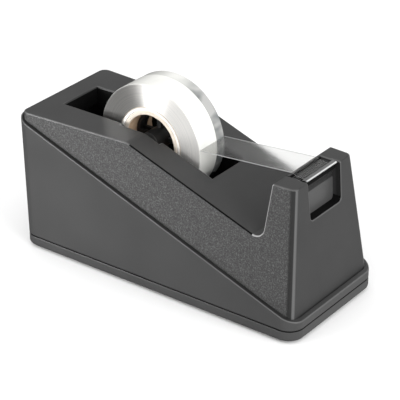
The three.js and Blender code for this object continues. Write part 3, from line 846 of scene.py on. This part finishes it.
def lower_shell():
    low = lower_low.z
    high = LEDGE_REAR + 1

    def lean(z):
        return REAR_LEAN * (z - low) / (LEDGE_REAR - low)

    def walls(grow, start, end):
        rings = [(0, start), (lean(end), end)]
        return stack([
            [Vector((p.x, p.y, z)) for p in plan_outline(grow, leaning)] for leaning, z in rings
        ])

    outer = walls(0, low, high)
    below = [
        Vector((-10, 0)),
        Vector((LENGTH + 10, 0)),
        Vector((LENGTH + 10, parting(LENGTH + 10))),
        Vector((-10, parting(-10))),
    ]
    keep(outer, across(below, -BEYOND, BEYOND))
    soften(outer, 0.42, lambda p: 1 if p.z > low + 1 else 0.9)
    # Painted shade: the ledge's top faces and the faces along the bottom edge are painted dark, as the
    # shaded ledge and a contact line.
    for polygon in outer.data.polygons:
        on_ledge = polygon.normal.z > 0.9 and polygon.material_index != EDGE_SLOT
        if on_ledge or polygon.center.z < low + 0.4:
            polygon.material_index = SHADE_SLOT
    hollow = walls(-WALL, low - 1, high + 1)
    for x0, x1 in ((-5, 20), (137, LENGTH + 5)):
        lug = upright(box2(x0, x1, -HALF_WIDTH, HALF_WIDTH), low - 2, LUG_TOP)
        cut(lug, upright(box2(x0 - 1, x1 + 1, -15, 15), low - 3, LUG_TOP + 1))
        cut(hollow, lug)
    cut(outer, hollow, upper_envelope(GAP))
    for x, y in SCREWS:
        cut(outer, upright(circle(SCREW_SHANK + GAP, x, y), 0, LUG_TOP + 1))
    return outer


def base_shell():
    bottom, top = plate_low.z, plate_high.z
    rings = []
    for i in range(7):
        angle = math.pi / 2 * i / 6
        rings.append((
            -PLATE_EDGE * 0.7 * (1 - math.sin(angle)), bottom + PLATE_EDGE * (1 - math.cos(angle)),
        ))
    rings += [(0, PLATE_TOP - 0.5), (-0.15, PLATE_TOP - 0.15), (-0.5, PLATE_TOP)]
    plate = stack([
        [Vector((p.x, p.y, z)) for p in plan_outline(grow)] for grow, z in rings
    ])
    cut(plate, upright(plan_outline(-PLATE_RIM), PLATE_FLOOR, PLATE_TOP + 1))
    for x, y in SCREWS:
        join(plate, upright(circle(CASE_BOSS, x, y), PLATE_FLOOR - 0.5, PLATE_TOP))
        cut(plate, upright(circle(SCREW_HEAD + GAP, x, y), 0, HEAD_SEAT + GAP))
        cut(plate, upright(circle(SCREW_SHANK + GAP, x, y), 0, PLATE_TOP + 1))
    for x in BALLAST_SCREWS:
        join(plate, upright(circle(BALLAST_BOSS, x, 0), PLATE_FLOOR - 0.5, top))
        cut(plate, upright(circle(BALLAST_SHANK + GAP, x, 0), BALLAST_BORE_FLOOR, top + 1))
    # Painted shade: the top of the tray's rim is painted dark, as a dark line at the seam under the
    # lower shell.
    for polygon in plate.data.polygons:
        if polygon.center.z > PLATE_TOP - 0.2:
            polygon.material_index = SHADE_SLOT
    return plate


# ---------- cutter ----------


def platform():
    bottom = deck_low.z
    half = deck_high.y
    front = deck_high.x - ORIGIN_X
    outline = rounded([
        (EAR_REAR - 0.3, bottom, 0.3),
        (UNDERCUT_X, bottom, 0.3),
        (UNDERCUT_X, UNDERCUT_TOP, 0.3),
        (front, UNDERCUT_TOP, 0.3),
        (front, PLATFORM_DECK, 0.4),
        (LIP_FRONT + 0.5, PLATFORM_DECK),
        (LIP_FRONT, PLATFORM_DECK - 0.4),
        (LIP_FRONT, EAR_TOP, 0.7),
        (EAR_REAR, EAR_TOP, 0.8),
    ], 8)
    made = across(outline, -half, half)
    x = LIP_FRONT + 1.2
    while x < BLADE_LEG_X - 1:
        groove = rounded([
            (x, PLATFORM_DECK - RIB_DEPTH, 0.15),
            (x + RIB_WIDTH, PLATFORM_DECK - RIB_DEPTH, 0.15),
            (x + RIB_WIDTH + 0.12, PLATFORM_DECK + RIB_DEPTH),
            (x - 0.12, PLATFORM_DECK + RIB_DEPTH),
        ], 4)
        cut(made, across(groove, 0.8 - half, half - 0.8))
        x += RIB_PITCH
    slot = box2(BLADE_LEG_X - GAP, BLADE_LEG_X + BLADE_THICK + GAP, BLADE_SEAT, ABOVE)
    cut(made, across(slot, -half - 1, half + 1))
    for x, y in PLATFORM_SCREWS:
        cut(made, upright(circle(PLATFORM_BORE, x, y), 60, BLADE_SEAT + GAP))
    return made


def blade():
    half = blade_high.y
    leg_x = blade_low.x - ORIGIN_X
    tooth = 0.7
    bend = 67.6
    leg = across(box2(leg_x, leg_x + BLADE_THICK, blade_low.z, bend + 0.3), -half, half)
    count = int(2 * half / TOOTH_PITCH)
    pitch = 2 * half / count
    edge = [Vector((0, -half)), Vector((BLADE_REACH - tooth, -half))]
    for i in range(count):
        edge.append(Vector((BLADE_REACH, -half + (i + 0.5) * pitch)))
        edge.append(Vector((BLADE_REACH - tooth, -half + (i + 1) * pitch)))
    edge.append(Vector((0, half)))
    flange = upright(edge, 0, BLADE_THICK)
    lift = Matrix.Rotation(-math.radians(BLADE_LIFT), 4, "Y")
    flange.data.transform(Matrix.Translation((leg_x, 0, bend)) @ lift)
    return join(leg, flange)


# ---------- roll ----------


def film_ring():
    inner = CORE_OUTER + 0.1
    half = TAPE_HALF
    edge = 0.25
    profile = [(inner, -half + 0.1), (inner + 0.1, -half)]
    steps = 26
    for i in range(1, steps):
        radius = inner + (TAPE_RADIUS - inner) * i / steps
        dent = 0.05 * (0.5 + 0.5 * math.sin(i * 2.4) * math.cos(i * 0.9))
        profile.append((radius, -half + dent))
    profile += [(TAPE_RADIUS - edge, -half), (TAPE_RADIUS, -half + edge)]
    profile += [(TAPE_RADIUS, 3.4), (TAPE_RADIUS - 0.12, 3.6)]
    profile += [(TAPE_RADIUS - 0.12, half - edge), (TAPE_RADIUS - edge - 0.12, half)]
    for i in range(steps - 1, 0, -1):
        radius = inner + (TAPE_RADIUS - inner) * i / steps
        dent = 0.05 * (0.5 + 0.5 * math.sin(i * 1.9) * math.cos(i * 1.3))
        profile.append((radius, half - dent))
    profile += [(inner + 0.1, half), (inner, half - 0.1)]
    return lathe(profile, 160)


def core_ring():
    inner = CORE_OUTER - 3.8
    half = TAPE_HALF
    groove = CORE_OUTER - 2.1
    depth = 0.35
    profile = [(p.x, p.y) for p in rounded([
        (inner, -half, 0.7), (groove, -half, 0.15), (groove + 0.2, depth - half, 0.1),
        (groove + 0.5, depth - half, 0.1), (groove + 0.7, -half, 0.15),
        (CORE_OUTER, -half, 0.25), (CORE_OUTER, half, 0.25),
        (groove + 0.7, half, 0.15), (groove + 0.5, half - depth, 0.1),
        (groove + 0.2, half - depth, 0.1), (groove, half, 0.15), (inner, half, 0.7),
    ], 5)]
    return lathe(profile, 128)


def hub(side):
    half = 2.8
    start = GAP / 2
    made = lathe([(p.x, p.y) for p in rounded([
        (HUB_RADIUS - HUB_RIM, start), (HUB_RADIUS, start),
        (HUB_RADIUS, half, 0.4), (HUB_RADIUS - HUB_RIM, half, 0.4),
    ], 4)], 96)
    tube = lathe([(p.x, p.y) for p in rounded([
        (PIN_RADIUS + GAP, start), (HUB_BOSS, start),
        (HUB_BOSS, HUB_BOSS_HALF, 0.3), (PIN_RADIUS + GAP, HUB_BOSS_HALF, 0.2),
    ], 4)], 64)
    spokes = []
    for i in range(4):
        blank = box2(4.3, 11.4, -1.1, 1.1)
        spoke = upright(blank, half - HUB_WEB, half)
        turn = Matrix.Rotation(i * math.pi / 2, 4, "Y") @ Matrix.Rotation(-math.pi / 2, 4, "X")
        spoke.data.transform(Matrix.Translation((AXIS_X, 0, AXIS_Z)) @ turn)
        spokes.append(spoke)
    join(made, tube, *spokes)
    soften(made, 0.25, lambda p: 1 if abs(p.y) > half - 2 and abs(p.y) < half + 0.1 else 0, 60, 2)
    if side < 0:
        made.data.transform(Matrix.Scale(-1, 4, (0, 1, 0)))
        made.data.flip_normals()
    return made


def strand():
    """The free film, from the roll over the platform's lip and down to the blade."""
    over = EAR_TOP + 0.32
    deck = PLATFORM_DECK + 0.32
    start = Vector((85.4, 64.35))
    film_end = 139.6  # just behind the blade
    under = rounded([
        (start.x, start.y), (EAR_REAR + 0.5, over, 2.5), (134.2, over, 1.0), (135.9, deck, 0.8),
        (film_end, deck),
    ], 6)
    film = 0.14
    width = TAPE_HALF
    top = [Vector((p.x, p.y + film)) for p in reversed(under)]
    made = across(under + top, -width, width)
    bead = width - 0.3
    work = bmesh.new()
    work.from_mesh(made.data)
    for y in (-bead, bead):
        parts = work.verts[:] + work.edges[:] + work.faces[:]
        bmesh.ops.bisect_plane(work, geom=parts, plane_co=(0, y, 0), plane_no=(0, 1, 0))
    # Painted highlight: the strips along both edges of the film, behind the ears, take an opaque grey
    # finish as a bright edge line.
    for face in work.faces:
        middle = face.calc_center_median()
        if abs(middle.y) > bead and middle.x < EAR_REAR:
            face.material_index = EDGE_SLOT
    work.to_mesh(made.data)
    work.free()
    return made


# ---------- assembly ----------


def darken(item, rule):
    """Gives the faces that the rule picks, by centre and normal, the shade slot: painted shade."""
    for polygon in item.data.polygons:
        if rule(polygon.center, polygon.normal):
            polygon.material_index = SHADE_SLOT


def unlit(spot, normal):
    """The walls of the well and of the front pocket, which are painted near-black as painted shade."""
    in_well = abs(spot.y) < WELL_HALF + 0.05 and WELL_REAR - 0.05 < spot.x < WELL_FRONT + 0.05
    if in_well and WELL_FLOOR - 0.1 < spot.z and (normal.z < 0.5 or spot.z < WELL_FLOOR + 5):
        return True
    in_pocket = abs(spot.y) < POCKET_HALF_HIGH + 0.1 and spot.x > VALLEY_X + 5
    return in_pocket and POCKET_BOTTOM - 0.1 < spot.z < SHELF_TOP and abs(normal.x) < 0.5


def mark_shell(item):
    """Gives the pocket's panel and the shell's rounded edges their own slots: painted light on the
    panel, painted shade above it and on the slope's edges, a painted highlight on the rise's edges.
    """
    for polygon in item.data.polygons:
        spot = polygon.center
        off_middle = abs(spot.y)
        in_post = VALLEY_X < spot.x < front_face(spot.z) - 3 and polygon.normal.x > 0.9
        # Painted light on the pocket's panel, painted shade on the strip under the platform.
        if in_post and off_middle < POCKET_HALF_HIGH and spot.z > POCKET_BOTTOM:
            polygon.material_index = PANEL_SLOT if spot.z < PANEL_TOP else SHADE_SLOT
        if polygon.material_index != EDGE_SLOT:
            continue
        # Painted shade on the slope's edges, the plain face on the well's rim, a painted highlight on
        # the rise's edges.
        if BEND_X + 12 < spot.x < VALLEY_X - 7 and off_middle > WELL_HALF + 4:
            polygon.material_index = SHADE_SLOT
        elif off_middle < WELL_HALF + 1.2 and spot.x < WELL_FRONT + 1.5:
            polygon.material_index = FACE_SLOT
        elif (VALLEY_X - 6 < spot.x < EAR_REAR + 1 and spot.z > VALLEY_Z - 1
              and off_middle > EAR_INNER + 1):
            polygon.material_index = RISE_SLOT


shell = upper_shell()
darken(shell, unlit)
mark_shell(shell)
# Slots: plain faces, edges painted lighter as a painted highlight, painted shade, the panel's painted
# light and the rise's painted highlight.
piece(shell, "shell_upper", "housing", "grained_plastic",
      ["grained_plastic", "edge_highlight_plastic", "painted_shade_black", "panel_painted_light", "rise_edge_highlight"],
      "upper_housing")
piece(lower_shell(), "shell_lower", "housing", "smooth_plastic",
      ["smooth_plastic", "edge_highlight_plastic", "dark_plastic"], "lower_housing")
piece(base_shell(), "base_tray", "housing", "smooth_plastic",
      ["smooth_plastic", "edge_highlight_plastic", "dark_plastic"], "base_plate")
deck = platform()
# Painted shade: the platform's front and underside faces, under the blade, are painted near-black.
darken(deck, lambda spot, normal: normal.x > 0.5 or normal.z < -0.5)
piece(deck, "platform_ribbed", "housing", "dark_plastic",
      ["dark_plastic", "dark_plastic", "painted_shade_black"], "tape_platform")
piece(blade(), "blade_toothed", "housing", "blade_steel", ["blade_steel"], "cutter_blade", smooth=20)
piece(strand(), "film_strand", "housing", "clear_film", ["clear_film", "film_edge_highlight"], "tape_strand")
piece(film_ring(), "film_roll", "roll", "wound_film", ["wound_film"], "tape_roll")
piece(core_ring(), "core_ring", "roll", "core_card", ["core_card"], "tape_core")
for side, name in ((-1, "right"), (1, "left")):
    piece(hub(side), f"hub_{name}", "roll", "dark_plastic", ["dark_plastic"], f"hub_half_{name}")

FINISHES = {
    "pad_rubber": ["antislip_pad"],
    "ballast_steel": ["ballast_plate_lower", "ballast_plate_upper"],
    "screw_steel": ["axle_pin"] + [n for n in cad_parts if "screw" in n],
    "dark_plastic": ["axle_end_right", "axle_end_left"],
}
for finish, names in FINISHES.items():
    for name in names:
        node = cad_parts[name]
        node.data.materials.clear()
        node.data.materials.append(MATERIALS[finish])

# ---------- studio ----------


def aim(item, place_at, target):
    item.location = place_at
    item.rotation_mode = "QUATERNION"
    item.rotation_quaternion = (Vector(target) - Vector(place_at)).to_track_quat("-Z", "Y")


def softbox(name, place_at, target, width, height, power):
    light = bpy.data.lights.new(name, "AREA")
    light.shape = "RECTANGLE"
    light.size = width
    light.size_y = height
    light.energy = power
    made = bpy.data.objects.new(name, light)
    bpy.context.scene.collection.objects.link(made)
    aim(made, place_at, target)


floor_material, floor_tree, floor_surface = shader("floor_paper", Roughness=0.9)
floor_cloud = noise(floor_tree, place(floor_tree), 3.0, 2.0)
floor_tree.links.new(ramp(floor_tree, floor_cloud, [(0.3, grey(0.9)), (0.7, grey(0.92))]),
                     floor_surface.inputs["Base Color"])
floor = upright(box2(-4000, 4000, -4000, 4000), -10, 0)
floor.name = "floor"
floor.data.transform(Matrix.Scale(MM, 4))
floor.data.materials.append(floor_material)
floor.visible_glossy = False

world = bpy.data.worlds.new("studio")
bpy.context.scene.world = world
world.use_nodes = True
sky = world.node_tree
# The studio is darkest low down behind the dispenser, a little to its left.
SHADE_SIDE = (-0.78, 0.2, -0.59)
direction = add(sky, "ShaderNodeTexCoord").outputs["Generated"]
towards = add(sky, "ShaderNodeVectorMath", {0: direction, 1: SHADE_SIDE}, operation="DOT_PRODUCT")
shade = spread(sky, towards.outputs["Value"], 0.12, 0.65, 0.85, 0.08, smooth=True)
height = add(sky, "ShaderNodeSeparateXYZ", {"Vector": direction}).outputs["Z"]
lift = spread(sky, height, 0.0, 0.4, 1.0, 1.4, smooth=True)
sky.nodes["Background"].inputs["Color"].default_value = (1, 1, 1, 1)
sky.links.new(math_node(sky, "MULTIPLY", shade, lift), sky.nodes["Background"].inputs["Strength"])

softbox("softbox_key", (-0.46, -0.42, 0.5), (0, 0, 0.05), 0.42, 0.42, 0.8)
softbox("softbox_fill", (0.62, -0.12, 0.3), (0, 0, 0.05), 0.5, 0.4, 3.5)
softbox("softbox_front", (0.02, -0.54, 0.14), (-0.02, 0, 0.04), 0.6, 0.24, 0.5)

spot = bpy.data.lights.new("spot_rear", "SPOT")
spot.energy = 33
spot.spot_size = math.radians(24)
spot.spot_blend = 1
spot.shadow_soft_size = 0.12
spot_lamp = bpy.data.objects.new("spot_rear", spot)
bpy.context.scene.collection.objects.link(spot_lamp)
aim(spot_lamp, (-0.36, -0.52, 0.13), (-0.1, -0.03, 0.04))

camera = bpy.data.objects.new("camera", bpy.data.cameras.new("camera"))
bpy.context.scene.collection.objects.link(camera)
bpy.context.scene.camera = camera
camera.data.lens = 165.32
camera.data.sensor_width = 36
camera.data.clip_start = 0.05
camera.data.clip_end = 20
aim(camera, (0.4368, -0.5837, 0.4232), (0.00376, -0.000285, 0.03433))

bpy.context.scene.view_settings.view_transform = "Standard"
